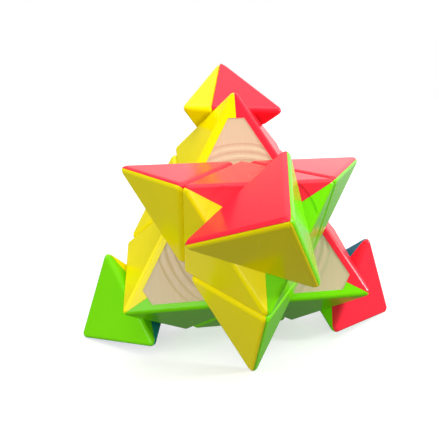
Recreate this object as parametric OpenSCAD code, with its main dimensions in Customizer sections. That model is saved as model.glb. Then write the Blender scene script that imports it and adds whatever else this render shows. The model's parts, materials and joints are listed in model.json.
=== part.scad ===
// Pyramid twisty puzzle: four tips, four centre pieces and six edge pieces on
// a sprung core. Every piece is an inner frame with clipped-on coloured caps.
//
// The pieces are laid out in the puzzle's own frame, which has the core's
// centre at zero, the front corner along +Z and the top corner towards +Y.
// The turned layer and tips are then spun about their own axes, and stand()
// sets the puzzle down on the three corners that it rests on.
// Corners and axes are numbered front 0, top 1, left 2, right 3, and a face
// has the number of the corner opposite it.

/* [Pyramid] */
// Length of one edge of the pyramid
edge_len = 98; // [96:1:108]
// Gap between neighbouring pieces
piece_gap = 0.3; // [0.2:0.05:0.4]
// Radius of the rounded edges and corners
round_r = 1.25; // [0.8:0.05:1.6]

/* [Caps] */
// Wall of a coloured cap
cap_t = 2; // [1.6:0.1:2.4]
// Gap between two caps of one piece
cap_seam = 0.1; // [0.04:0.02:0.2]
// How far a cap's solid corner reaches behind the pyramid's edge
corner_depth = 6.5; // [5.5:0.1:7.5]
// Step from a cap's rim down to the frame inside it
frame_recess = 0.15; // [0.05:0.05:0.3]

/* [Turns] */
// Turn of the front layer
layer_turn = 59; // [0:1:119]
// Turn of the front tip on its layer
front_tip_turn = 40; // [-180:1:180]
// Turn of the top tip
top_tip_turn = -53; // [-180:1:180]
// Turn of the left tip
left_tip_turn = 74.5; // [-180:0.5:180]
// Turn of the right tip
right_tip_turn = 53; // [-180:1:180]
// Angle from the top tip's corners to the joints between its caps
top_cap_offset = 22; // [0:1:60]

/* [Core] */
// Radius of the ball that the feet of the edge pieces turn in
ball_r = 17.5; // [17:0.1:17.6]
// Radius of the room for the spider in the middle of the ball
room_r = 9.5; // [9:0.1:10]
// Distance from the centre to the layer joint inside the ball
foot_cut = 3; // [2.5:0.1:3.5]
// Radius of the spider's arms
arm_r = 3.2; // [3:0.1:3.4]
// Length of the spider's arms from the centre
arm_end = 10.5; // [10.2:0.1:10.8]
// Radius of the spider's hub
hub_r = 6; // [5:0.5:6.5]
// Running clearance round the spider's arms and the tip stems
running_gap = 0.08; // [0.03:0.01:0.1]

/* [Screws and springs] */
// Radius of the screw's shank
shank_r = 1.5; // [1.3:0.1:1.6]
// Radius of the screw's head
head_r = 2.9; // [2.6:0.1:3]
// Height of the screw's head
head_h = 2.4; // [2:0.1:2.6]
// Distance from the centre to the shelf under the spring
shelf_z = 15; // [14.5:0.1:15.2]
// Distance from the centre to the underside of the screw's head
head_z = 21.3; // [21:0.1:21.6]
// Thickness of the washer
washer_t = 0.8; // [0.5:0.1:1]
// Mean radius of the spring
spring_r = 2.4; // [2.3:0.05:2.5]
// Diameter of the spring wire
wire_d = 0.7; // [0.5:0.05:0.8]
// Turns of the spring
spring_turns = 4; // [3:1:4]

/* [Tip stems] */
// Radius of the pocket in a centre piece that takes the tip's stem
pocket_r = 3.5; // [3.4:0.05:3.7]
// Distance from the centre to the end of the stem
stem_z = 24.5; // [24.2:0.1:25]
// Height of the groove that the stem snaps into
groove_h = 1.5; // [1.3:0.1:1.8]
// Distance from the centre to the groove
groove_z = 27.4; // [27:0.1:28]
// Depth of the snap groove
groove_depth = 1; // [0.8:0.1:1.2]

/* [Moulded marks] */
// Radius of the shallow ring on top of a centre piece
top_ring_r = 11.7; // [10:0.1:13]
// Width of the shallow ring
ring_w = 0.6; // [0.4:0.1:0.8]
// Depth of the shallow ring
ring_depth = 0.3; // [0.2:0.05:0.4]
// Radius of the innermost soft ripple on a cut face
ripple_r = 18.3; // [18:0.1:19]
// Distance from one ripple to the next
ripple_step = 2.1; // [1.8:0.1:2.5]
// Number of ripples
ripples = 3; // [1:1:3]
// Width of a ripple
ripple_w = 1.5; // [1:0.1:1.6]
// Depth of a ripple
ripple_depth = 0.16; // [0.08:0.02:0.2]

/* [Hidden] */
$fn = 64;

// Corner numbers, and the number of the face of each colour
FRONT = 0;
TOP = 1;
LEFT = 2;
RIGHT = 3;
BLUE = FRONT;
GREEN = TOP;
RED = LEFT;
YELLOW = RIGHT;
FACE_COLOURS = [[0.0, 0.42, 0.44], [0.35, 0.75, 0.1], [0.93, 0.1, 0.15], [0.95, 0.88, 0.05]];

// Unit vectors from the centre to the four corners
AXES = [
    [0, 0, 1],
    [0, 2 * sqrt(2) / 3, -1 / 3],
    [-sqrt(2 / 3), -sqrt(2) / 3, -1 / 3],
    [sqrt(2 / 3), -sqrt(2) / 3, -1 / 3],
];

// The pyramid's own distances from its centre
pyramid_h = edge_len * sqrt(2 / 3);
corner_d = pyramid_h * 3 / 4;
face_d = pyramid_h / 4;
edge_d = edge_len / sqrt(8);
layer_cut = pyramid_h / 12;
tip_cut = pyramid_h * 5 / 12;

// Insides that follow from the sizes above
half_gap = piece_gap / 2;
tip_base = tip_cut + half_gap;
centre_top = tip_cut - half_gap;
neck_r = ball_r + 1;
stem_r = pocket_r - running_gap;
lip_clear = 0.3;
bore_r = shank_r + 0.3;
screw_hole_r = shank_r + 0.05;
cap_hole_r = pocket_r + 0.4;
ripple_round = (ripple_w ^ 2 / 4 + ripple_depth ^ 2) / (2 * ripple_depth);
spring_foot = shelf_z + 0.3;
block = 2 * edge_len;

TIP_TURNS = [front_tip_turn, top_tip_turn, left_tip_turn, right_tip_turn];
CAP_OFFSETS = [0, top_cap_offset, 0, 0];

// ---- Points ------------------------------------------------------------

function unit(v) = v / norm(v);
function middle(points) = [for (a = [0:2]) [for (p = points) p[a]] * [for (p = points) 1]] / len(points);
function others(list) = [for (m = [0:3]) if (len(search(m, list)) == 0) m];
function spun(axis, angle, p) =
    p * cos(angle) + cross(axis, p) * sin(angle) + axis * (axis * p) * (1 - cos(angle));

// The point one third of the way from corner i to corner j
function third(i, j) = (2 * AXES[i] + AXES[j]) * corner_d / 3;
function face_middle(f) = -AXES[f] * face_d;

function tip_corners(i) = concat([AXES[i] * corner_d], [for (j = others([i])) third(i, j)]);
function centre_corners(i) =
    concat([for (j = others([i])) third(i, j)], [for (j = others([i])) face_middle(j)]);
function edge_corners(i, j) =
    concat([third(i, j), third(j, i)], [for (f = others([i, j])) face_middle(f)]);

// Corners pulled in until a ball of the edge radius fits behind each of them
function pulled_in(corners, inner_r) =
    let (c = middle(corners), k = 1 - (half_gap + round_r) / inner_r)
    [for (p = corners) c + k * (p - c)];

// Directions that a rounded corner is drawn in: square to each face, then
// halfway round each edge and straight out at each corner
function pair_sums(list, dot) = [
    for (a = [0:len(list) - 1]) for (b = [a + 1:1:len(list) - 1])
        if (abs(list[a] * list[b] - dot) < 0.01) unit(list[a] + list[b])
];
function triple_sums(list) = [
    for (a = [0:len(list) - 1]) for (b = [a + 1:1:len(list) - 1]) for (c = [b + 1:1:len(list) - 1])
        if (abs(list[a] * list[b]) + abs(list[b] * list[c]) + abs(list[a] * list[c]) < 0.01)
            unit(list[a] + list[b] + list[c])
];
function four_sided_dirs(corners) =
    let (c = middle(corners), outs = [for (p = corners) unit(p - c)], faces = -outs)
    concat(outs, faces, pair_sums(faces, -1 / 3));
function eight_sided_dirs(corners) =
    let (c = middle(corners), outs = [for (p = corners) unit(p - c)])
    concat(outs, pair_sums(outs, 0), triple_sums(outs));

function rounded(centres, dirs) = [for (p = centres) for (d = dirs) p + round_r * d];
third_len = edge_len / 3;
four_sided_inner = third_len / sqrt(24);
eight_sided_inner = third_len / sqrt(6);
function four_sided_points(corners) =
    rounded(pulled_in(corners, four_sided_inner), four_sided_dirs(corners));
function eight_sided_points(corners) =
    rounded(pulled_in(corners, eight_sided_inner), eight_sided_dirs(corners));

// ---- Standing on three corners -----------------------------------------

// Ball centres of the three corners that touch the table
function tip_ball(i) = pulled_in(tip_corners(i), four_sided_inner)[0];
layer_ball = spun(AXES[FRONT], layer_turn, pulled_in(edge_corners(LEFT, FRONT), four_sided_inner)[0]);
up = unit(cross(tip_ball(RIGHT) - tip_ball(LEFT), tip_ball(LEFT) - layer_ball));
back = -unit(AXES[FRONT] - up * (up * AXES[FRONT]));
side = cross(back, up);
TURN_TO_TABLE = [side, back, up];

// Every outside point, for the middle and the bottom of the standing puzzle
OUTSIDE = concat(
    [for (i = [0:3]) for (p = four_sided_points(tip_corners(i)))
        let (q = spun(AXES[i], TIP_TURNS[i], p)) i == FRONT ? spun(AXES[FRONT], layer_turn, q) : q],
    [for (i = [0:3]) for (p = eight_sided_points(centre_corners(i)))
        i == FRONT ? spun(AXES[FRONT], layer_turn, p) : p],
    [for (i = [0:2]) for (j = [i + 1:1:3]) for (p = four_sided_points(edge_corners(i, j)))
        i == FRONT ? spun(AXES[FRONT], layer_turn, p) : p]
);
STANDING = [for (p = OUTSIDE) TURN_TO_TABLE * p];
low = [for (a = [0:2]) min([for (p = STANDING) p[a]])];
high = [for (a = [0:2]) max([for (p = STANDING) p[a]])];
SHIFT = [-(low.x + high.x) / 2, -(low.y + high.y) / 2, -low.z];

module stand() {
    translate(SHIFT)
        multmatrix([
            [side.x, side.y, side.z, 0],
            [back.x, back.y, back.z, 0],
            [up.x, up.y, up.z, 0],
            [0, 0, 0, 1],
        ])
            children();
}

// Puts a piece of corner i's layer at its turn and stands it on the table
module placed(i) {
    stand()
        rotate([0, 0, i == FRONT ? layer_turn : 0])
            children();
}

module placed_tip(i) {
    placed(i)
        rotate(a = TIP_TURNS[i], v = AXES[i])
            children();
}

// ---- Building blocks ---------------------------------------------------

// Turns +Z to the direction given
module facing(dir) {
    rotate([0, acos(dir.z), atan2(dir.y, dir.x)])
        children();
}

// Everything up to distance d along dir
module below(dir, d) {
    facing(dir)
        translate([-block / 2, -block / 2, d - block])
            cube(block);
}

module above(dir, d) {
    below(-dir, -d);
}

module rod(r, from, to) {
    translate([0, 0, from])
        cylinder(r = r, h = to - from);
}

// A flat ring groove cutter of mean radius r, from its floor up past the face
module ring_cut(r, floor_z) {
    difference() {
        rod(r + ring_w / 2, floor_z, floor_z + 1);
        rod(r - ring_w / 2, floor_z - 1, floor_z + 2);
    }
}

// A cutter for one soft ripple of mean radius r in a face at face_z
module ripple_cut(r, face_z) {
    translate([0, 0, face_z + ripple_round - ripple_depth])
        rotate_extrude()
            translate([r, 0])
                circle(ripple_round);
}

module hull_of(points) {
    count = floor(len(points) / 3) * 3;
    hull()
        polyhedron(points, [for (i = [0:3:count - 1]) [i, i + 1, i + 2]]);
}

module tip_block(i) hull_of(four_sided_points(tip_corners(i)));
module centre_block(i) hull_of(eight_sided_points(centre_corners(i)));
module edge_block(i, j) hull_of(four_sided_points(edge_corners(i, j)));

// Room inside the caps, open on the sides where pieces slide on each other
module behind_faces(faces) {
    intersection_for (f = faces)
        below(-AXES[f], face_d - cap_t);
}

module behind_edge(i, j) below(unit(AXES[i] + AXES[j]), edge_d - corner_depth);

module centre_room(i) {
    sides = others([i]);
    intersection() {
        behind_faces(sides);
        behind_edge(i, sides[0]);
        behind_edge(i, sides[1]);
        behind_edge(i, sides[2]);
        below(AXES[i], centre_top - cap_t);
    }
}

module edge_room(i, j) {
    intersection() {
        behind_faces(others([i, j]));
        behind_edge(i, j);
    }
}

module tip_room(i) {
    intersection() {
        behind_faces(others([i]));
        above(AXES[i], tip_base + cap_t);
    }
}

// The share of a piece that belongs to the cap of face f
module cap_share(f, rivals) {
    intersection_for (r = rivals)
        below(unit(AXES[f] - AXES[r]), -cap_seam / 2);
}

// The part of a piece inside the ball: above the cut on its own axes, below
// the foot cut on the others, and clear of the spider's room
module inside_ball(own, outer_r, cut) {
    difference() {
        intersection() {
            sphere(outer_r);
            intersection_for (i = own)
                above(AXES[i], cut + half_gap);
            intersection_for (k = others(own))
                below(AXES[k], foot_cut - half_gap);
        }
        sphere(room_r);
    }
}

// ---- Core --------------------------------------------------------------

module core_spider() {
    color([0.16, 0.16, 0.18])
        stand()
            difference() {
                union() {
                    sphere(hub_r);
                    for (a = AXES) facing(a) rod(arm_r, hub_r / 2, arm_end);
                }
                for (a = AXES) facing(a) rod(screw_hole_r, arm_end - 6.5, arm_end + 1);
            }
}

module axis_screw() {
    slot_w = 0.8;
    slot_l = 3.6;
    slot_depth = 1.3;
    difference() {
        union() {
            rod(shank_r, arm_end - 6, head_z + 0.1);
            rod(head_r, head_z, head_z + head_h);
        }
        for (turn = [0, 90])
            rotate([0, 0, turn])
                translate([-slot_l / 2, -slot_w / 2, head_z + head_h - slot_depth])
                    cube([slot_l, slot_w, slot_depth + 1]);
    }
}

module axis_screws() {
    color([0.7, 0.7, 0.72])
        stand()
            for (a = AXES) facing(a) axis_screw();
}

module axis_washers() {
    color([0.8, 0.8, 0.82])
        stand()
            for (a = AXES)
                facing(a)
                    difference() {
                        rod(head_r, head_z - washer_t, head_z);
                        rod(shank_r + 0.2, head_z - washer_t - 1, head_z + 1);
                    }
}

// A round wire swept along a helix, closed at both ends
module spring_coil() {
    wire_sides = 6;
    steps_per_turn = 12;
    steps = steps_per_turn * spring_turns;
    bottom = spring_foot + wire_d / 2;
    top = head_z - washer_t - wire_d / 2 - 0.1;
    rings = [
        for (s = [0:steps])
            let (angle = 360 * s / steps_per_turn, z = bottom + (top - bottom) * s / steps)
                [for (w = [0:wire_sides - 1])
                    let (r = spring_r + wire_d / 2 * cos(360 * w / wire_sides))
                        [r * cos(angle), r * sin(angle), z + wire_d / 2 * sin(360 * w / wire_sides)]]
    ];
    walls = [
        for (s = [0:steps - 1]) for (w = [0:wire_sides - 1])
            let (a = s * wire_sides + w, b = s * wire_sides + (w + 1) % wire_sides)
                [a, a + wire_sides, b + wire_sides, b]
    ];
    first_end = [for (w = [0:wire_sides - 1]) w];
    last_end = [for (w = [0:wire_sides - 1]) steps * wire_sides + wire_sides - 1 - w];
    polyhedron([for (ring = rings) each ring], concat([first_end], walls, [last_end]));
}

module axis_springs() {
    color([0.75, 0.75, 0.78])
        stand()
            for (a = AXES) facing(a) spring_coil();
}

// ---- Centre pieces -----------------------------------------------------

module centre_frame(i) {
    color([0.86, 0.82, 0.62])
        placed(i)
            difference() {
                union() {
                    difference() {
                        intersection() {
                            centre_room(i);
                            above(AXES[i], layer_cut + half_gap + frame_recess);
                            intersection_for (j = others([i]))
                                below(AXES[j], layer_cut - half_gap - frame_recess);
                        }
                        sphere(ball_r + half_gap);
                    }
                    inside_ball([i], neck_r, layer_cut + frame_recess);
                    inside_ball([i], ball_r - half_gap, foot_cut);
                }
                facing(AXES[i]) {
                    rod(arm_r + running_gap, 0, arm_end + 0.3);
                    rod(bore_r, 0, shelf_z + 1);
                    rod(pocket_r, shelf_z, tip_cut);
                    rod(pocket_r + groove_depth, groove_z, groove_z + groove_h);
                }
                for (j = others([i]))
                    facing(AXES[j])
                        for (step = [0:ripples - 1])
                            ripple_cut(ripple_r + step * ripple_step, layer_cut - half_gap - frame_recess);
            }
}

module centre_cap(i, f) {
    color(FACE_COLOURS[f])
        placed(i)
            difference() {
                intersection() {
                    centre_block(i);
                    cap_share(f, others([i, f]));
                }
                centre_room(i);
                facing(AXES[i]) {
                    rod(cap_hole_r, 0, tip_cut);
                    ring_cut(top_ring_r, centre_top - ring_depth);
                }
            }
}

// ---- Edge pieces -------------------------------------------------------

module edge_frame(i, j) {
    color([0.86, 0.82, 0.62])
        placed(i)
            union() {
                difference() {
                    intersection() {
                        edge_room(i, j);
                        above(AXES[i], layer_cut + half_gap + frame_recess);
                        above(AXES[j], layer_cut + half_gap + frame_recess);
                    }
                    sphere(ball_r + half_gap);
                }
                inside_ball([i, j], neck_r, layer_cut + frame_recess);
                inside_ball([i, j], ball_r - half_gap, foot_cut);
            }
}

module edge_cap(i, j, f) {
    color(FACE_COLOURS[f])
        placed(i)
            difference() {
                intersection() {
                    edge_block(i, j);
                    cap_share(f, others([i, j, f]));
                }
                edge_room(i, j);
            }
}

// ---- Tips --------------------------------------------------------------

module tip_core(i) {
    color([0.86, 0.82, 0.62])
        placed_tip(i)
            union() {
                tip_room(i);
                facing(AXES[i]) {
                    rod(stem_r, stem_z, tip_base + cap_t + 1);
                    rod(pocket_r + groove_depth - lip_clear, groove_z + lip_clear,
                        groove_z + groove_h - lip_clear);
                }
            }
}

module tip_cap(i, f) {
    color(FACE_COLOURS[f])
        placed_tip(i)
            difference() {
                intersection() {
                    tip_block(i);
                    rotate(a = CAP_OFFSETS[i], v = AXES[i])
                        cap_share(f, others([i, f]));
                }
                tip_room(i);
                facing(AXES[i])
                    rod(stem_r + 0.1, tip_cut - 1, tip_base + cap_t + 1);
            }
}

// ---- Parts -------------------------------------------------------------

core_spider();
axis_screws();
axis_springs();
axis_washers();

centre_frame(FRONT);  // centre_front_frame
centre_cap(FRONT, RED);  // centre_front_cap_red
centre_cap(FRONT, YELLOW);  // centre_front_cap_yellow
centre_cap(FRONT, GREEN);  // centre_front_cap_green
centre_frame(TOP);  // centre_top_frame
centre_cap(TOP, RED);  // centre_top_cap_red
centre_cap(TOP, YELLOW);  // centre_top_cap_yellow
centre_cap(TOP, BLUE);  // centre_top_cap_blue
centre_frame(LEFT);  // centre_left_frame
centre_cap(LEFT, YELLOW);  // centre_left_cap_yellow
centre_cap(LEFT, GREEN);  // centre_left_cap_green
centre_cap(LEFT, BLUE);  // centre_left_cap_blue
centre_frame(RIGHT);  // centre_right_frame
centre_cap(RIGHT, RED);  // centre_right_cap_red
centre_cap(RIGHT, GREEN);  // centre_right_cap_green
centre_cap(RIGHT, BLUE);  // centre_right_cap_blue

edge_frame(FRONT, TOP);  // edge_red_yellow_frame
edge_cap(FRONT, TOP, RED);  // edge_red_yellow_cap_red
edge_cap(FRONT, TOP, YELLOW);  // edge_red_yellow_cap_yellow
edge_frame(FRONT, LEFT);  // edge_yellow_green_frame
edge_cap(FRONT, LEFT, YELLOW);  // edge_yellow_green_cap_yellow
edge_cap(FRONT, LEFT, GREEN);  // edge_yellow_green_cap_green
edge_frame(FRONT, RIGHT);  // edge_red_green_frame
edge_cap(FRONT, RIGHT, RED);  // edge_red_green_cap_red
edge_cap(FRONT, RIGHT, GREEN);  // edge_red_green_cap_green
edge_frame(TOP, LEFT);  // edge_yellow_blue_frame
edge_cap(TOP, LEFT, YELLOW);  // edge_yellow_blue_cap_yellow
edge_cap(TOP, LEFT, BLUE);  // edge_yellow_blue_cap_blue
edge_frame(TOP, RIGHT);  // edge_red_blue_frame
edge_cap(TOP, RIGHT, RED);  // edge_red_blue_cap_red
edge_cap(TOP, RIGHT, BLUE);  // edge_red_blue_cap_blue
edge_frame(LEFT, RIGHT);  // edge_green_blue_frame
edge_cap(LEFT, RIGHT, GREEN);  // edge_green_blue_cap_green
edge_cap(LEFT, RIGHT, BLUE);  // edge_green_blue_cap_blue

tip_core(FRONT);  // tip_front_core
tip_cap(FRONT, RED);  // tip_front_cap_red
tip_cap(FRONT, YELLOW);  // tip_front_cap_yellow
tip_cap(FRONT, GREEN);  // tip_front_cap_green
tip_core(TOP);  // tip_top_core
tip_cap(TOP, RED);  // tip_top_cap_red
tip_cap(TOP, YELLOW);  // tip_top_cap_yellow
tip_cap(TOP, BLUE);  // tip_top_cap_blue
tip_core(LEFT);  // tip_left_core
tip_cap(LEFT, YELLOW);  // tip_left_cap_yellow
tip_cap(LEFT, GREEN);  // tip_left_cap_green
tip_cap(LEFT, BLUE);  // tip_left_cap_blue
tip_core(RIGHT);  // tip_right_core
tip_cap(RIGHT, RED);  // tip_right_cap_red
tip_cap(RIGHT, GREEN);  // tip_right_cap_green
tip_cap(RIGHT, BLUE);  // tip_right_cap_blue
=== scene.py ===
"""Looks of a stickerless pyramid twisty puzzle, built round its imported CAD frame.

The puzzle is four tips, four centre pieces and six edge pieces round a sprung
core. Each piece's coloured caps are modelled here as fine-edged mouldings and
stand for the plainer CAD caps. The frames, stems and core stay CAD parts and
get their plastic and metal finishes here.
"""

import json
import logging
import math
from dataclasses import dataclass, field
from enum import Enum
from itertools import combinations
from typing import Any, Iterable, Sequence

import bmesh
import bpy
from mathutils import Matrix, Vector


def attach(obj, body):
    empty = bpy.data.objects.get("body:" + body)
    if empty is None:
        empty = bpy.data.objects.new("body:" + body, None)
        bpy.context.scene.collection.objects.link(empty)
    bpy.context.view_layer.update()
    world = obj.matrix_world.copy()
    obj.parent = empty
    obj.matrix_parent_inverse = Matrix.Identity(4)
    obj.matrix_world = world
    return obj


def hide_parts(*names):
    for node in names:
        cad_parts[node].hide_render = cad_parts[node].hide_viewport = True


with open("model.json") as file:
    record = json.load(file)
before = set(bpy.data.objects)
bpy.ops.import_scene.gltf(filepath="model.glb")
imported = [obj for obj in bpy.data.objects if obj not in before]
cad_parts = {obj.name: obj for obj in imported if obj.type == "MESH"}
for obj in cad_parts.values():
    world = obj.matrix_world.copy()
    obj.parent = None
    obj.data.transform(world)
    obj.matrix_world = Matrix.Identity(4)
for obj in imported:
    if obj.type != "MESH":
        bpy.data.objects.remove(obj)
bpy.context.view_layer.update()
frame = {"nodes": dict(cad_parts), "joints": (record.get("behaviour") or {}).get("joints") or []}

logging.basicConfig(level=logging.INFO, format="%(message)s")
log = logging.getLogger("pyramid")

MM = 0.001


# ---- Names -----------------------------------------------------------------


class Corner(Enum):
    """A corner of the pyramid. The face opposite a corner has its number."""

    FRONT = 0
    TOP = 1
    LEFT = 2
    RIGHT = 3


class Colour(Enum):
    """A face colour, by the number of the corner opposite that face."""

    BLUE = 0
    GREEN = 1
    RED = 2
    YELLOW = 3


# Edge pieces are named by the colours of their two caps
EDGE_NAMES: dict[tuple[int, int], str] = {
    (0, 1): "red_yellow",
    (0, 2): "yellow_green",
    (0, 3): "red_green",
    (1, 2): "yellow_blue",
    (1, 3): "red_blue",
    (2, 3): "green_blue",
}


def others(*used: int) -> list[int]:
    """The corner numbers that are not in used."""
    return [m for m in range(4) if m not in used]


# ---- Shader maths ----------------------------------------------------------


class Signal:
    """A number that changes over a surface, written with plain operators."""

    def __init__(self, graph: "Graph", socket: bpy.types.NodeSocket) -> None:
        """Wraps an output socket of a node in graph."""
        self.graph = graph
        self.socket = socket

    def _maths(self, operation: str, first: Any, second: Any) -> "Signal":
        """Adds one Math node."""
        node = self.graph.node("ShaderNodeMath", {"operation": operation}, {0: first, 1: second})
        return Signal(self.graph, node.outputs[0])

    def __add__(self, other: Any) -> "Signal":
        """self + other."""
        return self._maths("ADD", self, other)

    __radd__ = __add__

    def __mul__(self, other: Any) -> "Signal":
        """self * other."""
        return self._maths("MULTIPLY", self, other)

    __rmul__ = __mul__

    def __sub__(self, other: Any) -> "Signal":
        """self - other."""
        return self._maths("SUBTRACT", self, other)

    def __rsub__(self, other: Any) -> "Signal":
        """other - self."""
        return self._maths("SUBTRACT", other, self)

    def power(self, exponent: float) -> "Signal":
        """self raised to exponent."""
        return self._maths("POWER", self, exponent)

    def at_least(self, other: Any) -> "Signal":
        """self or other, whichever is more."""
        return self._maths("MAXIMUM", self, other)


class Graph:
    """A node tree, emptied and filled by short calls."""

    def __init__(self, tree: bpy.types.NodeTree) -> None:
        """Takes a node tree over and empties it."""
        self.tree = tree
        self.tree.nodes.clear()

    def node(
        self,
        kind: str,
        settings: dict[str, Any] | None = None,
        sockets: dict[Any, Any] | None = None,
    ) -> bpy.types.Node:
        """Adds a node of any type.

        Args:
            kind: The node's Blender type.
            settings: Its properties.
            sockets: Input name or number to a value, a socket or a Signal.

        Returns:
            The new node.
        """
        node = self.tree.nodes.new(kind)
        for key, value in (settings or {}).items():
            setattr(node, key, value)
        for key, value in (sockets or {}).items():
            source = value.socket if isinstance(value, Signal) else value
            if isinstance(source, bpy.types.NodeSocket):
                self.tree.links.new(source, node.inputs[key])
            else:
                node.inputs[key].default_value = source
        return node


class Surface(Graph):
    """The node tree of one material."""

    def __init__(self, name: str) -> None:
        """Starts a material called name with an empty node tree."""
        self.material = bpy.data.materials.new(name)
        self.material.use_nodes = True
        super().__init__(self.material.node_tree)
        self.place = self.node("ShaderNodeTexCoord").outputs["Object"]

    def noise(self, per_metre: float, detail: float = 2.0, rough: float = 0.5) -> Signal:
        """A soft noise with per_metre blotches in a metre."""
        node = self.node(
            "ShaderNodeTexNoise",
            {"noise_dimensions": "3D"},
            {"Vector": self.place, "Scale": per_metre, "Detail": detail, "Roughness": rough},
        )
        return Signal(self, node.outputs["Fac"])

    def streaks(self, stretch: tuple[float, float, float], turn: tuple[float, float, float]) -> Signal:
        """A noise drawn out into hairlines.

        Args:
            stretch: Scale along each axis, in lines per metre.
            turn: Turn of the pattern round X, Y and Z in radians.

        Returns:
            The streaks as a number from 0 to 1.
        """
        mapping = self.node(
            "ShaderNodeMapping", None, {"Vector": self.place, "Rotation": turn, "Scale": stretch}
        )
        node = self.node(
            "ShaderNodeTexNoise",
            {"noise_dimensions": "3D"},
            {"Vector": mapping.outputs[0], "Scale": 1.0, "Detail": 1.0, "Roughness": 0.5},
        )
        return Signal(self, node.outputs["Fac"])

    def blend(self, low: Sequence[float], high: Sequence[float], amount: Signal) -> bpy.types.NodeSocket:
        """A colour that goes from low to high as amount goes from 0 to 1."""
        node = self.node(
            "ShaderNodeMix",
            {"data_type": "RGBA", "blend_type": "MIX"},
            {"Factor": amount, 6: (*low, 1.0), 7: (*high, 1.0)},
        )
        return node.outputs[2]

    def bump(self, height: Signal, strength: float, depth: float) -> bpy.types.NodeSocket:
        """A normal raised by height, at most depth metres."""
        node = self.node(
            "ShaderNodeBump", None, {"Strength": strength, "Distance": depth, "Height": height}
        )
        return node.outputs[0]

    def finish(self, sockets: dict[Any, Any]) -> bpy.types.Material:
        """Closes the tree with a Principled shader that has these inputs."""
        shader = self.node("ShaderNodeBsdfPrincipled", None, sockets)
        self.node("ShaderNodeOutputMaterial", None, {"Surface": shader.outputs[0]})
        return self.material


# ---- Finishes --------------------------------------------------------------

PLASTIC_IOR = 1.5
# The power that leaves only the deepest of a streak pattern's lines
FAINT_MARKS = 6.0


@dataclass(frozen=True)
class GlossPlastic:
    """Polished through-coloured moulding, as on the caps.

    Attributes:
        name: The material's name.
        colour: Base colour of the pigment.
        deep: The slightly deeper shade that the pigment drifts to.
        roughness: Roughness of the polished skin.
        drift: Blotches of pigment drift in a metre.
        grain: Specks of the moulded skin in a metre.
        ripple: Mould ripples in a metre.
        rubs: Rub marks in a metre along each axis, one way.
        cross_rubs: The same, the other way.
        specular: Strength of the mirror layer, 0.5 being plain plastic.
    """

    name: str
    colour: tuple[float, float, float]
    deep: tuple[float, float, float]
    roughness: float = 0.15
    drift: float = 28.0
    grain: float = 900.0
    ripple: float = 140.0
    rubs: tuple[float, float, float] = (2600.0, 90.0, 140.0)
    cross_rubs: tuple[float, float, float] = (110.0, 2300.0, 160.0)
    specular: float = 0.2

    def build(self) -> bpy.types.Material:
        """Pigment drift, faint rub marks and a trace of mould ripple."""
        graph = Surface(self.name)
        drift = graph.noise(self.drift, 2.0)
        speck = graph.noise(self.grain, 3.0, 0.6)
        rubs = graph.streaks(self.rubs, (0.4, 0.9, 0.3))
        cross_rubs = graph.streaks(self.cross_rubs, (1.1, 0.2, 0.8))
        marks = rubs.power(FAINT_MARKS) + cross_rubs.power(FAINT_MARKS)
        ripple = graph.noise(self.ripple, 1.0)
        height = ripple * 0.8 + speck * 0.1 + marks * 0.08
        return graph.finish(
            {
                "Base Color": graph.blend(self.deep, self.colour, drift * 0.7 + speck * 0.3),
                "Roughness": speck * 0.05 + marks * 0.35 + self.roughness,
                "Normal": graph.bump(height, 0.2, 0.0001),
                "IOR": PLASTIC_IOR,
                "Specular IOR Level": self.specular,
            }
        )


@dataclass(frozen=True)
class FramePlastic:
    """Plain moulded plastic with a soft sheen, as on the inner frames.

    Attributes:
        name: The material's name.
        colour: Base colour.
        worn: Colour where pieces have slid over it.
        roughness: Roughness between the slide marks.
        cloud: Cloudy patches in a metre.
        grain: Specks of the mould grain in a metre.
        slides: Slide marks in a metre along each axis.
    """

    name: str
    colour: tuple[float, float, float]
    worn: tuple[float, float, float]
    roughness: float = 0.38
    cloud: float = 60.0
    grain: float = 2600.0
    slides: tuple[float, float, float] = (900.0, 60.0, 60.0)

    def build(self) -> bpy.types.Material:
        """A fine mould grain with lighter, smoother slide marks."""
        graph = Surface(self.name)
        cloud = graph.noise(self.cloud, 3.0)
        grain = graph.noise(self.grain, 2.0)
        slides = graph.streaks(self.slides, (0.7, 0.3, 1.2)).power(3.0)
        return graph.finish(
            {
                "Base Color": graph.blend(self.colour, self.worn, cloud * 0.5 + slides * 0.6),
                "Roughness": self.roughness + grain * 0.12 - slides * 0.3,
                "Normal": graph.bump(grain * 0.7 + slides, 0.3, 0.00008),
                "IOR": PLASTIC_IOR,
            }
        )


@dataclass(frozen=True)
class PlatedSteel:
    """Turned and plated steel, as on the screws, washers and springs.

    Attributes:
        name: The material's name.
        colour: Base colour of the metal.
        roughness: Roughness of the plating.
        cloud: Cloudy patches of the plating in a metre.
        lines: Tool lines in a metre along each axis.
        shade: Brightness of the dullest patches, per the base colour.
    """

    name: str
    colour: tuple[float, float, float]
    roughness: float = 0.28
    cloud: float = 400.0
    lines: tuple[float, float, float] = (200.0, 200.0, 9000.0)
    shade: float = 0.75

    def build(self) -> bpy.types.Material:
        """Tool lines and a cloudy plating."""
        graph = Surface(self.name)
        cloud = graph.noise(self.cloud, 3.0)
        lines = graph.streaks(self.lines, (0.3, 0.0, 0.0))
        dull = tuple(self.shade * c for c in self.colour)
        return graph.finish(
            {
                "Base Color": graph.blend(dull, self.colour, cloud),
                "Metallic": 1.0,
                "Roughness": self.roughness + cloud * 0.15,
                "Normal": graph.bump(lines, 0.2, 0.00004),
            }
        )


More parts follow.
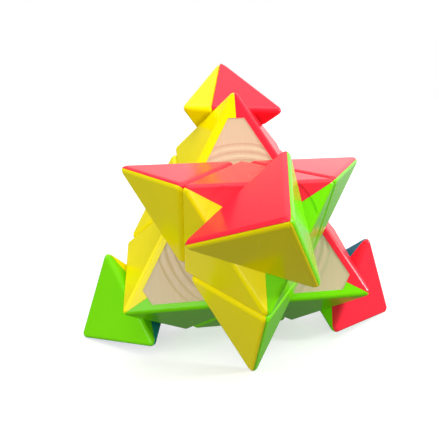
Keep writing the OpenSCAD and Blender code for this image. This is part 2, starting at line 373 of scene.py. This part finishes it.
@dataclass(frozen=True)
class Finishes:
    """One finish for each material slot of the puzzle."""

    caps: dict[Colour, GlossPlastic] = field(
        default_factory=lambda: {
            Colour.RED: GlossPlastic("cap_red", (0.95, 0.030, 0.055), (0.92, 0.018, 0.040)),
            Colour.YELLOW: GlossPlastic("cap_yellow", (0.93, 0.82, 0.0), (0.91, 0.77, 0.0)),
            Colour.GREEN: GlossPlastic("cap_green", (0.21, 0.76, 0.004), (0.17, 0.70, 0.002)),
            Colour.BLUE: GlossPlastic("cap_blue", (0.0, 0.25, 0.33), (0.0, 0.21, 0.29)),
        }
    )
    frames: FramePlastic = FramePlastic("frame_cream", (0.57, 0.45, 0.27), (0.65, 0.53, 0.34))
    spider: FramePlastic = FramePlastic("spider_black", (0.02, 0.02, 0.022), (0.05, 0.05, 0.055))
    screw: PlatedSteel = PlatedSteel("steel_screw", (0.62, 0.62, 0.64))
    spring: PlatedSteel = PlatedSteel("steel_spring", (0.70, 0.70, 0.72), 0.22)
    washer: PlatedSteel = PlatedSteel("steel_washer", (0.66, 0.66, 0.68), 0.32)


# ---- Where the pieces are --------------------------------------------------


@dataclass
class Pyramid:
    """The pyramid's own lines, at rest, in metres in the part's frame.

    Attributes:
        edge: Length of the pyramid's edge.
        gap: Gap between neighbouring pieces.
        layer_turn: Turn of the front layer, in degrees.
        tip_turns: Turn of each tip on its own axis, in degrees.
        top_cap_offset: Turn of the top tip's cap joints from its corners.
    """

    edge: float = 98 * MM
    gap: float = 0.3 * MM
    layer_turn: float = 59.0
    tip_turns: tuple[float, ...] = (40.0, -53.0, 74.5, 53.0)
    top_cap_offset: float = 22.0

    def __post_init__(self) -> None:
        """Reads the centre and the axes from the frame's joints."""
        joints = {j["name"]: j for j in frame["joints"]}
        names = ("front_layer_turn", "tip_top_turn", "tip_left_turn", "tip_right_turn")
        self.centre = Vector(joints[names[0]]["pos_m"])
        self.axes = [Vector(joints[n]["axis"]).normalized() for n in names]
        # Distances from the centre of a regular tetrahedron with this edge
        height = self.edge * math.sqrt(2 / 3)
        self.corner_d = height * 3 / 4
        self.face_d = height / 4
        self.edge_d = self.edge / math.sqrt(8)
        # The tips are cut off a third of the height below their corners
        self.tip_cut = height * 5 / 12
        # Spheres that touch every face of the small four and eight-sided pieces
        third = self.edge / 3
        self.four_sided_r = third / math.sqrt(24)
        self.eight_sided_r = third / math.sqrt(6)

    def corner(self, i: int) -> Vector:
        """The pyramid's corner i, measured from the centre."""
        return self.axes[i] * self.corner_d

    def third_point(self, i: int, j: int) -> Vector:
        """The point a third of the way from corner i to corner j."""
        return (2 * self.corner(i) + self.corner(j)) / 3

    def face_middle(self, f: int) -> Vector:
        """The middle of face f."""
        return self.axes[f] * -self.face_d

    def placing(self, corner: int, tip: bool) -> Matrix:
        """The turn that a piece of that corner's layer, or its tip, rests at.

        Args:
            corner: Number of the corner.
            tip: Whether the piece is that corner's tip.

        Returns:
            The matrix that takes the closed pyramid's piece to its rest place.
        """
        turn = Matrix.Identity(4)
        if tip:
            turn = Matrix.Rotation(math.radians(self.tip_turns[corner]), 4, self.axes[corner])
        if corner == Corner.FRONT.value:
            turn = Matrix.Rotation(math.radians(self.layer_turn), 4, self.axes[0]) @ turn
        return Matrix.Translation(self.centre) @ turn


# ---- Mesh steps ------------------------------------------------------------

# Angle under which two faces of a hull count as one, in radians
FLAT = 0.01
# Distances under which points count as one, in metres
ON_PLANE = 1e-7
SAME_POINT = 1e-6
SAME_CARVED_POINT = 2e-6
# Sides of the round cutters
ROD_SIDES = 96
RING_SIDES = 128
# Profile of a bevel that is an arc of a circle
ROUND = 0.5


def convex(points: Iterable[Vector]) -> bmesh.types.BMesh:
    """A closed mesh round a few points."""
    mesh = bmesh.new()
    for point in points:
        mesh.verts.new(point)
    bmesh.ops.convex_hull(mesh, input=mesh.verts)
    bmesh.ops.dissolve_limit(mesh, angle_limit=FLAT, verts=mesh.verts, edges=mesh.edges)
    bmesh.ops.recalc_face_normals(mesh, faces=mesh.faces)
    return mesh


def cut_to(mesh: bmesh.types.BMesh, direction: Vector, distance: float) -> None:
    """Cuts a convex mesh off where it is past distance along direction."""
    found = bmesh.ops.bisect_plane(
        mesh,
        geom=[*mesh.verts, *mesh.edges, *mesh.faces],
        dist=ON_PLANE,
        plane_co=direction * distance,
        plane_no=direction,
        clear_outer=True,
    )
    rim = [item for item in found["geom_cut"] if isinstance(item, bmesh.types.BMEdge)]
    if rim:
        bmesh.ops.contextual_create(mesh, geom=rim)


def as_object(mesh: bmesh.types.BMesh, name: str) -> bpy.types.Object:
    """Makes a linked object of a bmesh, and frees the bmesh."""
    bmesh.ops.recalc_face_normals(mesh, faces=mesh.faces)
    data = bpy.data.meshes.new(name)
    mesh.to_mesh(data)
    mesh.free()
    thing = bpy.data.objects.new(name, data)
    bpy.context.scene.collection.objects.link(thing)
    return thing


def carve(piece: bpy.types.Object, cutters: Sequence[bpy.types.Object]) -> None:
    """Takes the cutters out of a piece and deletes them."""
    for cutter in cutters:
        step = piece.modifiers.new("carve", "BOOLEAN")
        step.operation = "DIFFERENCE"
        step.solver = "EXACT"
        step.object = cutter
    graph = bpy.context.evaluated_depsgraph_get()
    carved = bpy.data.meshes.new_from_object(piece.evaluated_get(graph))
    piece.modifiers.clear()
    piece.data = carved
    for cutter in cutters:
        bpy.data.objects.remove(cutter)


def facing(axis: Vector, distance: float) -> Matrix:
    """The place at distance along axis, with Z turned to point along it."""
    return Matrix.Translation(axis * distance) @ axis.to_track_quat("Z", "Y").to_matrix().to_4x4()


def rod(axis: Vector, radius: float, start: float, end: float) -> bmesh.types.BMesh:
    """A round rod along an axis through the pyramid's centre."""
    mesh = bmesh.new()
    bmesh.ops.create_cone(
        mesh,
        cap_ends=True,
        segments=ROD_SIDES,
        radius1=radius,
        radius2=radius,
        depth=end - start,
        matrix=facing(axis, (start + end) / 2),
    )
    return mesh


def ring(axis: Vector, radius: float, width: float, floor: float, top: float) -> bmesh.types.BMesh:
    """A flat ring about an axis through the pyramid's centre.

    Args:
        axis: Direction of the axis.
        radius: Mean radius.
        width: Width of the ring.
        floor: Distance of its lower face from the centre.
        top: Distance of its upper face from the centre.

    Returns:
        The closed ring.
    """
    mesh = bmesh.new()
    for rim in (radius - width / 2, radius + width / 2):
        bmesh.ops.create_circle(mesh, segments=RING_SIDES, radius=rim, matrix=facing(axis, floor))
    bmesh.ops.bridge_loops(mesh, edges=mesh.edges)
    raised = bmesh.ops.extrude_face_region(mesh, geom=list(mesh.faces))
    lifted = [v for v in raised["geom"] if isinstance(v, bmesh.types.BMVert)]
    bmesh.ops.translate(mesh, verts=lifted, vec=axis * (top - floor))
    bmesh.ops.recalc_face_normals(mesh, faces=mesh.faces)
    return mesh


# ---- Caps ------------------------------------------------------------------

# How far back from an edge a rounding starts, per radius of the rounding
FOUR_SIDED_SETBACK = math.sqrt(2)
EIGHT_SIDED_SETBACK = math.sqrt(0.5)


@dataclass
class CapMould:
    """Sizes and steps shared by every cap.

    Attributes:
        pyramid: The pyramid's lines.
        wall: Wall of a cap.
        seam: Gap between two caps of one piece.
        corner_depth: How far a cap's solid corner reaches behind the edge.
        round_r: Radius of the outer edges.
        round_steps: Steps round each outer edge.
        lip_r: Radius broken off a cap's sharp rims.
        lip_steps: Steps round each broken rim.
        lip_angle: Least angle of an edge that counts as a sharp rim, in degrees.
        flat_angle: Angle under which two carved faces are one, in degrees.
        joint_share: Rounding along the top tip's cap joints, per outer rounding.
        overshoot: How far a cutter reaches out past what it cuts.
        undershoot: How far a hole's cutter starts behind the wall's outside.
    """

    pyramid: Pyramid
    wall: float = 2 * MM
    seam: float = 0.03 * MM
    corner_depth: float = 6.5 * MM
    round_r: float = 1.25 * MM
    round_steps: int = 6
    lip_r: float = 0.08 * MM
    lip_steps: int = 2
    lip_angle: float = 35.0
    flat_angle: float = 0.5
    joint_share: float = 0.55
    overshoot: float = 1 * MM
    undershoot: float = 3 * MM

    def sharp_block(self, corners: Sequence[Vector], inner_r: float) -> bmesh.types.BMesh:
        """A piece's block with sharp edges, half a gap smaller than its room.

        Args:
            corners: The piece's sharp corners.
            inner_r: Distance from its middle to its faces.

        Returns:
            The sharp block.
        """
        middle = sum(corners, Vector()) / len(corners)
        shrink = 1 - self.pyramid.gap / 2 / inner_r
        return convex(middle + shrink * (c - middle) for c in corners)

    def block(self, corners: Sequence[Vector], inner_r: float, setback: float) -> bmesh.types.BMesh:
        """The rounded outer block of a piece.

        Args:
            corners: The piece's sharp corners.
            inner_r: Distance from its middle to its faces.
            setback: How far back from an edge the rounding starts, per radius.

        Returns:
            The rounded block.
        """
        mesh = self.sharp_block(corners, inner_r)
        bmesh.ops.bevel(
            mesh,
            geom=[*mesh.verts, *mesh.edges],
            offset=self.round_r * setback,
            offset_type="OFFSET",
            segments=self.round_steps,
            profile=ROUND,
            affect="EDGES",
            material=-1,
        )
        return mesh

    def room(self, planes: Sequence[tuple[Vector, float]]) -> bmesh.types.BMesh:
        """The room inside a piece's caps: all that is within some planes."""
        # The cube starts well outside the pyramid, and the planes cut it down
        mesh = bmesh.new()
        bmesh.ops.create_cube(mesh, size=3 * self.pyramid.edge)
        for direction, distance in planes:
            cut_to(mesh, direction, distance)
        return mesh

    def behind_faces(self, faces: Iterable[int]) -> list[tuple[Vector, float]]:
        """Planes one wall behind the coloured faces."""
        return [(-self.pyramid.axes[f], self.pyramid.face_d - self.wall) for f in faces]

    def behind_edge(self, i: int, j: int) -> tuple[Vector, float]:
        """The plane that ends a frame's corner at edge ij."""
        direction = (self.pyramid.axes[i] + self.pyramid.axes[j]).normalized()
        return direction, self.pyramid.edge_d - self.corner_depth

    def share(self, block: bmesh.types.BMesh, f: int, rivals: Iterable[int]) -> bmesh.types.BMesh:
        """The part of a rounded block that belongs to face f's cap.

        Args:
            block: The whole rounded block.
            f: Number of the face.
            rivals: Numbers of the piece's other faces.

        Returns:
            A new mesh with that share.
        """
        mesh = block.copy()
        for direction in self.joint_directions(f, rivals):
            cut_to(mesh, direction, -self.seam / 2)
        return mesh

    def joint_directions(self, f: int, rivals: Iterable[int]) -> list[Vector]:
        """Directions from face f's cap out through its joints with its rivals."""
        return [(self.pyramid.axes[f] - self.pyramid.axes[r]).normalized() for r in rivals]

    def soft_share(
        self, block: bmesh.types.BMesh, joints: Sequence[Vector], axis: Vector, setback: float
    ) -> bmesh.types.BMesh:
        """A tip cap that is rounded along its joints too.

        Args:
            block: The tip's whole block, with sharp edges.
            joints: Directions from the cap out through its joints.
            axis: The tip's axis, where the joints meet.
            setback: How far back from an edge the rounding starts, per radius.

        Returns:
            A new mesh with that share.
        """
        mesh = block.copy()
        for direction in joints:
            cut_to(mesh, direction, 0.0)
        bmesh.ops.remove_doubles(mesh, verts=mesh.verts, dist=SAME_POINT)
        weight = mesh.edges.layers.float.new("bevel_weight_edge")
        for edge in mesh.edges:
            on_joint = any(max(abs(v.co.dot(d)) for v in edge.verts) < self.seam for d in joints)
            on_axis = all(v.co.cross(axis).length < self.seam for v in edge.verts)
            edge[weight] = 0.0 if on_axis else self.joint_share if on_joint else 1.0
        piece = as_object(mesh, "share")
        rounding = piece.modifiers.new("rounding", "BEVEL")
        rounding.limit_method = "WEIGHT"
        rounding.offset_type = "OFFSET"
        rounding.width = self.round_r * setback
        rounding.segments = self.round_steps
        rounding.profile = ROUND
        rounding.use_clamp_overlap = False
        graph = bpy.context.evaluated_depsgraph_get()
        rounded = bmesh.new()
        rounded.from_mesh(piece.evaluated_get(graph).to_mesh())
        bpy.data.objects.remove(piece)
        for direction in joints:
            cut_to(rounded, direction, -self.seam / 2)
        return rounded

    def seal(self, piece: bpy.types.Object, placing: Matrix) -> None:
        """Breaks a cap's sharp rims, shades it smooth and puts it in place.

        Args:
            piece: The carved cap, laid out in the closed pyramid.
            placing: The turn and move to its rest place.
        """
        mesh = bmesh.new()
        mesh.from_mesh(piece.data)
        bmesh.ops.remove_doubles(mesh, verts=mesh.verts, dist=SAME_CARVED_POINT)
        bmesh.ops.dissolve_limit(
            mesh, angle_limit=math.radians(self.flat_angle), verts=mesh.verts, edges=mesh.edges
        )
        limit = math.radians(self.lip_angle)
        sharp = [e for e in mesh.edges if e.is_manifold and e.calc_face_angle(0) > limit]
        bmesh.ops.bevel(
            mesh,
            geom=sharp,
            offset=self.lip_r,
            offset_type="OFFSET",
            segments=self.lip_steps,
            profile=ROUND,
            affect="EDGES",
            clamp_overlap=True,
            material=-1,
        )
        bmesh.ops.transform(mesh, matrix=placing, verts=mesh.verts)
        bmesh.ops.recalc_face_normals(mesh, faces=mesh.faces)
        for face in mesh.faces:
            face.smooth = True
        mesh.to_mesh(piece.data)
        mesh.free()
        normals = piece.modifiers.new("even_faces", "WEIGHTED_NORMAL")
        normals.weight = 100
        normals.keep_sharp = True


@dataclass
class CapSet:
    """The caps of one piece, and what they share.

    Attributes:
        mould: The sizes shared by every cap.
        materials: A material for each colour.
        body: The body that the piece rides on.
    """

    mould: CapMould
    materials: dict[Colour, bpy.types.Material]
    body: str

    def add(
        self,
        node: str,
        colour: Colour,
        share: bmesh.types.BMesh,
        cutters: Sequence[bmesh.types.BMesh],
        placing: Matrix,
    ) -> bpy.types.Object:
        """Makes one finished cap that stands for its CAD node.

        Args:
            node: Name of the CAD node.
            colour: The cap's colour.
            share: The cap's share of the rounded block.
            cutters: What is taken out of it.
            placing: The turn and move to its rest place.

        Returns:
            The cap.
        """
        piece = as_object(share, node + "_moulding")
        carve(piece, [as_object(c.copy(), "cutter") for c in cutters])
        self.mould.seal(piece, placing)
        piece.data.materials.clear()
        piece.data.materials.append(self.materials[colour])
        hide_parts(node)
        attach(piece, self.body)
        log.info("%s: %d faces on %s", piece.name, len(piece.data.polygons), self.body)
        return piece


@dataclass
class Tip:
    """One of the four turning tips.

    Attributes:
        caps: How its caps are made.
        corner: The corner it sits on.
        stem_r: Radius of the hole round its stem.
    """

    caps: CapSet
    corner: Corner
    stem_r: float = 3.52 * MM

    def build(self) -> None:
        """Makes its three caps."""
        mould, pyramid, i = self.caps.mould, self.caps.mould.pyramid, self.corner.value
        corners = [pyramid.corner(i), *(pyramid.third_point(i, j) for j in others(i))]
        soft_joints = self.corner is Corner.TOP
        inner_r = pyramid.four_sided_r
        if soft_joints:
            block = mould.sharp_block(corners, inner_r)
        else:
            block = mould.block(corners, inner_r, FOUR_SIDED_SETBACK)
        base = pyramid.tip_cut + pyramid.gap / 2
        axis = pyramid.axes[i]
        room = mould.room([*mould.behind_faces(others(i)), (-axis, -(base + mould.wall))])
        stem = rod(axis, self.stem_r, base - mould.undershoot, base + mould.wall + mould.overshoot)
        offset = Matrix.Rotation(math.radians(pyramid.top_cap_offset), 3, axis)
        placing = pyramid.placing(i, tip=True)
        for f in others(i):
            colour = Colour(f)
            node = f"tip_{self.corner.name.lower()}_cap_{colour.name.lower()}"
            if soft_joints:
                joints = [offset @ d for d in mould.joint_directions(f, others(i, f))]
                share = mould.soft_share(block, joints, axis, FOUR_SIDED_SETBACK)
            else:
                share = mould.share(block, f, others(i, f))
            self.caps.add(node, colour, share, [room, stem], placing)


@dataclass
class CentrePiece:
    """One of the four octahedral pieces behind the tips.

    Attributes:
        caps: How its caps are made.
        corner: The corner it belongs to.
        hole_r: Radius of the hole for the tip's stem.
        ring_r: Mean radius of the shallow ring on its top.
        ring_w: Width of that ring.
        ring_depth: Depth of that ring.
    """

    caps: CapSet
    corner: Corner
    hole_r: float = 3.9 * MM
    ring_r: float = 11.7 * MM
    ring_w: float = 0.6 * MM
    ring_depth: float = 0.15 * MM

    def build(self) -> None:
        """Makes its three caps."""
        mould, pyramid, i = self.caps.mould, self.caps.mould.pyramid, self.corner.value
        corners = [pyramid.third_point(i, j) for j in others(i)]
        corners += [pyramid.face_middle(f) for f in others(i)]
        block = mould.block(corners, pyramid.eight_sided_r, EIGHT_SIDED_SETBACK)
        top = pyramid.tip_cut - pyramid.gap / 2
        axis = pyramid.axes[i]
        planes = [*mould.behind_faces(others(i)), *(mould.behind_edge(i, j) for j in others(i))]
        room = mould.room([*planes, (axis, top - mould.wall)])
        hole = rod(axis, self.hole_r, top - mould.undershoot, top + mould.overshoot)
        groove = ring(axis, self.ring_r, self.ring_w, top - self.ring_depth, top + mould.overshoot)
        placing = pyramid.placing(i, tip=False)
        for f in others(i):
            colour = Colour(f)
            node = f"centre_{self.corner.name.lower()}_cap_{colour.name.lower()}"
            share = mould.share(block, f, others(i, f))
            self.caps.add(node, colour, share, [room, hole, groove], placing)


@dataclass
class EdgePiece:
    """One of the six tetrahedral pieces on the pyramid's edges.

    Attributes:
        caps: How its caps are made.
        ends: The two corners whose edge it sits on.
    """

    caps: CapSet
    ends: tuple[int, int]

    def build(self) -> None:
        """Makes its two caps."""
        mould, pyramid, (i, j) = self.caps.mould, self.caps.mould.pyramid, self.ends
        corners = [pyramid.third_point(i, j), pyramid.third_point(j, i)]
        corners += [pyramid.face_middle(f) for f in others(i, j)]
        block = mould.block(corners, pyramid.four_sided_r, FOUR_SIDED_SETBACK)
        room = mould.room([*mould.behind_faces(others(i, j)), mould.behind_edge(i, j)])
        placing = pyramid.placing(i, tip=False)
        for f in others(i, j):
            colour = Colour(f)
            node = f"edge_{EDGE_NAMES[self.ends]}_cap_{colour.name.lower()}"
            share = mould.share(block, f, others(i, j, f))
            self.caps.add(node, colour, share, [room], placing)


# ---- Frames and core -------------------------------------------------------


@dataclass
class InnerParts:
    """The frames, stems and core that keep their CAD shape.

    Attributes:
        finishes: The finish of every slot.
    """

    finishes: Finishes

    def dress(self) -> None:
        """Gives each shown CAD node the material of its kind."""
        frames = self.finishes.frames.build()
        metals = {
            "core_spider": self.finishes.spider.build(),
            "axis_screws": self.finishes.screw.build(),
            "axis_springs": self.finishes.spring.build(),
            "axis_washers": self.finishes.washer.build(),
        }
        for name, thing in frame["nodes"].items():
            if "_cap_" in name:
                continue
            material = metals.get(name, frames)
            thing.data.materials.clear()
            thing.data.materials.append(material)
            log.info("%s: %s", name, material.name)


# ---- Studio ----------------------------------------------------------------

WHITE = (1.0, 1.0, 1.0, 1.0)
# Width of the camera's frame, in millimetres
SENSOR_WIDTH = 36.0
# Nearest distance that the camera shows, in metres
NEAR = 0.005


@dataclass(frozen=True)
class Glow:
    """A soft bright patch of the studio's surround.

    Attributes:
        direction: Direction from the puzzle to its middle.
        reach: Angle from its middle at which it ends, in degrees.
        core: Angle from its middle within which it is brightest, in degrees.
        dim: Light outside it.
        bright: Light at its middle.
    """

    direction: tuple[float, float, float]
    reach: float
    core: float
    dim: float
    bright: float


@dataclass(frozen=True)
class Softbox:
    """A wide soft light, the same all over the puzzle and the floor.

    Attributes:
        name: The light's name.
        source: Direction that it comes from.
        spread: Width that it is seen at, in degrees.
        strength: Its power on each square metre, in watts.
    """

    name: str
    source: tuple[float, float, float]
    spread: float
    strength: float


@dataclass
class Studio:
    """A pale floor, soft lights and the camera.

    Attributes:
        centre: The puzzle's centre.
        floor_size: Side of the square floor, in metres.
        floor_colour: Colour of the floor.
        floor_glow: Light that the floor gives off.
        floor_shade: Brightness of the floor's duller patches, per its colour.
        window: The soft bright patch of the surround.
        softboxes: The lights.
        offset: Place of the camera from the puzzle's centre.
        azimuth: Camera's turn from the front towards +X, in degrees.
        elevation: Camera's height above the horizontal, in degrees.
        roll: Camera's roll, in degrees.
        lens: Focal length on a 36 mm wide frame.
    """

    centre: Vector
    floor_size: float = 60.0
    floor_colour: tuple[float, float, float] = (0.5, 0.5, 0.5)
    floor_glow: float = 0.6
    floor_shade: float = 0.985
    window: Glow = Glow((0.55, 0.45, 0.70), 73.0, 32.0, 0.14, 1.1)
    softboxes: tuple[Softbox, ...] = (
        Softbox("top_softbox", (0.05, -0.20, 1.0), 60.0, 1.6),
        Softbox("front_softbox", (-0.30, -0.90, 0.10), 50.0, 2.3),
        Softbox("left_softbox", (-0.90, -0.10, 0.40), 40.0, 1.0),
        Softbox("right_softbox", (0.90, -0.20, 0.28), 10.0, 2.6),
    )
    offset: Vector = field(default_factory=lambda: Vector((-18.09, -128.35, 32.91)) * MM)
    azimuth: float = -5.33
    elevation: float = 12.45
    roll: float = -2.61
    lens: float = 40.6

    def build(self) -> None:
        """Makes the floor, the lights and the camera."""
        self._floor()
        self._surround()
        for softbox in self.softboxes:
            self._light(softbox)
        self._camera()
        bpy.context.scene.view_settings.view_transform = "Standard"

    def _floor(self) -> None:
        """A wide, pale and nearly even floor."""
        mesh = bmesh.new()
        bmesh.ops.create_grid(mesh, x_segments=1, y_segments=1, size=self.floor_size / 2)
        floor = as_object(mesh, "floor")
        graph = Surface("floor_paper")
        tone = graph.noise(3.0, 2.0)
        dull = tuple(self.floor_shade * c for c in self.floor_colour)
        floor.data.materials.append(
            graph.finish(
                {
                    "Base Color": graph.blend(dull, self.floor_colour, tone),
                    "Roughness": 0.7,
                    "Emission Color": WHITE,
                    "Emission Strength": self.floor_glow,
                }
            )
        )
        floor.visible_diffuse = False
        floor.visible_glossy = False

    def _surround(self) -> None:
        """A surround that shows white and lights the puzzle from one wide window."""
        world = bpy.data.worlds.new("studio")
        world.use_nodes = True
        graph = Graph(world.node_tree)
        outward = graph.node("ShaderNodeTexCoord").outputs["Generated"]
        middle = Vector(self.window.direction).normalized()
        towards = graph.node("ShaderNodeVectorMath", {"operation": "DOT_PRODUCT"}, {0: outward, 1: middle})
        step = graph.node(
            "ShaderNodeMapRange",
            {"interpolation_type": "SMOOTHSTEP"},
            {
                "Value": towards.outputs["Value"],
                "From Min": math.cos(math.radians(self.window.reach)),
                "From Max": math.cos(math.radians(self.window.core)),
                "To Min": self.window.dim,
                "To Max": self.window.bright,
            },
        )
        path = graph.node("ShaderNodeLightPath")
        light = Signal(graph, step.outputs["Result"]).at_least(path.outputs["Is Camera Ray"])
        sky = graph.node("ShaderNodeBackground", None, {"Color": WHITE, "Strength": light})
        graph.node("ShaderNodeOutputWorld", None, {"Surface": sky.outputs[0]})
        bpy.context.scene.world = world

    @staticmethod
    def _light(softbox: Softbox) -> None:
        """Hangs one of the lights."""
        data = bpy.data.lights.new(softbox.name, "SUN")
        data.angle = math.radians(softbox.spread)
        data.energy = softbox.strength
        lamp = bpy.data.objects.new(softbox.name, data)
        lamp.rotation_euler = (-Vector(softbox.source)).to_track_quat("-Z", "Y").to_euler()
        bpy.context.scene.collection.objects.link(lamp)

    def _camera(self) -> None:
        """The camera, level with the puzzle's upper half."""
        data = bpy.data.cameras.new("camera")
        data.sensor_width = SENSOR_WIDTH
        data.lens = self.lens
        data.clip_start = NEAR
        camera = bpy.data.objects.new("camera", data)
        around = Matrix.Rotation(math.radians(self.azimuth), 4, "Z")
        tip_up = Matrix.Rotation(math.radians(90 - self.elevation), 4, "X")
        rolled = Matrix.Rotation(math.radians(self.roll), 4, "Z")
        camera.matrix_world = Matrix.Translation(self.centre + self.offset) @ around @ tip_up @ rolled
        bpy.context.scene.collection.objects.link(camera)
        bpy.context.scene.camera = camera


# ---- The puzzle ------------------------------------------------------------


def body_of(corners: Sequence[int]) -> str:
    """The body of a centre or edge piece that touches these corners."""
    return "front_layer" if Corner.FRONT.value in corners else "rear_block"


def main() -> None:
    """Builds every piece, dresses the CAD parts and sets up the studio."""
    finishes = Finishes()
    pyramid = Pyramid()
    mould = CapMould(pyramid)
    materials = {colour: finish.build() for colour, finish in finishes.caps.items()}
    Studio(pyramid.centre).build()
    for corner in Corner:
        Tip(CapSet(mould, materials, f"tip_{corner.name.lower()}"), corner).build()
        CentrePiece(CapSet(mould, materials, body_of([corner.value])), corner).build()
    for ends in combinations(range(4), 2):
        EdgePiece(CapSet(mould, materials, body_of(ends)), ends).build()
    InnerParts(finishes).dress()


if __name__ == "__main__":
    main()
